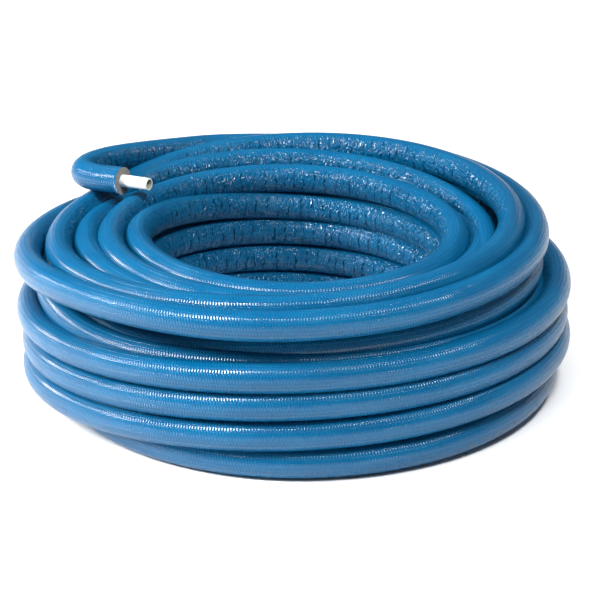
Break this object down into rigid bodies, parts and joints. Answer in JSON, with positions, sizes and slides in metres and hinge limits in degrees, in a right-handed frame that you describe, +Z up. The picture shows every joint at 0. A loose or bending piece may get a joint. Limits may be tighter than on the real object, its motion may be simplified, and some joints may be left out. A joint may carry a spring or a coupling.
{
  "type": "coil of insulated multilayer pipe",
  "caption": "Flat-lying coil of multilayer water pipe in a film-faced foam sleeve, with its last turn rising to a loose end where the bare pipe stands out of the foam.",
  "frame": {"origin": "centre of the coil's box on the floor, close to the coil's axis", "axes": "+Z up along the coil's axis, +Y towards the back, where the last turn leaves the coil, +X to the right"},
  "size_m": [0.714, 0.714, 0.2508],
  "materials": {
    "film": "embossed blue polyethylene film over closed-cell foam",
    "foam": "cut closed-cell polyethylene foam under blue film",
    "pipe": "smooth white polyethylene"
  },
  "bodies": {
    "root": {"wound_coil": "film", "foam_sleeve": "foam", "carrier_pipe": "pipe"}
  },
  "joints": []
}
